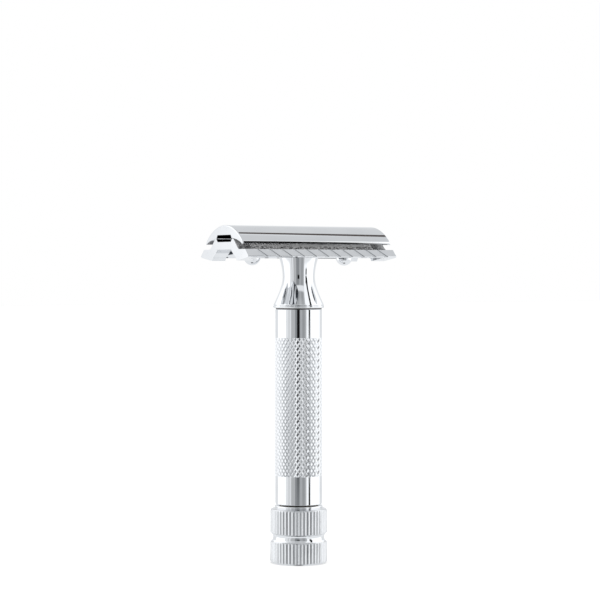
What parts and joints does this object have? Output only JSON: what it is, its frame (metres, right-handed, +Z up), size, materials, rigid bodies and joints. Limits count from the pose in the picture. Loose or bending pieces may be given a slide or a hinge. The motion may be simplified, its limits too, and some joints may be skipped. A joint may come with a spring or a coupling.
{
  "type": "safety razor",
  "caption": "Two-piece double-edge safety razor: domed cap on pegs, closed-bar plate fixed to a knurled tube handle, and a twist knob that draws the cap down.",
  "frame": {"origin": "middle of the knob's flat bottom face, on the handle's axis", "axes": "+Z up the handle, +X along the head, -Y the side of the head that faces the viewer"},
  "size_m": [0.042, 0.0248, 0.0836],
  "materials": {
    "head_chrome": "bright chrome plate over a polished casting",
    "handle_chrome": "bright chrome plate, plain at the ends and diamond-knurled along the grip",
    "knob_chrome": "bright chrome plate over straight ridges",
    "turned_steel": "fine turning marks",
    "machined_brass": "machined, slightly dulled",
    "white_nylon": "moulded, satin"
  },
  "bodies": {
    "handle": {"base_plate": "head_chrome", "neck_pillar": "handle_chrome", "handle_tube": "handle_chrome", "lower_bush": "machined_brass"},
    "knob": {"grip_knob": "knob_chrome", "knob_washer": "turned_steel", "draw_rod": "turned_steel", "draw_socket": "machined_brass", "socket_pin": "turned_steel", "thrust_washer": "white_nylon"},
    "cap": {"top_cap": "head_chrome", "cap_stud": "turned_steel"}
  },
  "joints": [
    {"name": "knob_turn", "type": "hinge", "parent": "handle", "child": "knob", "pos_m": [0, 0, 0], "axis": [0, 0, -1], "range_deg": [0, 2880]},
    {"name": "cap_lift", "type": "slide", "parent": "handle", "child": "cap", "axis": [0, 0, 1], "range_m": [0, 0.0056]}
  ],
  "couplings": [
    {"joint": "cap_lift", "follows": "knob_turn", "m_per_rad": 0.00011141}
  ]
}
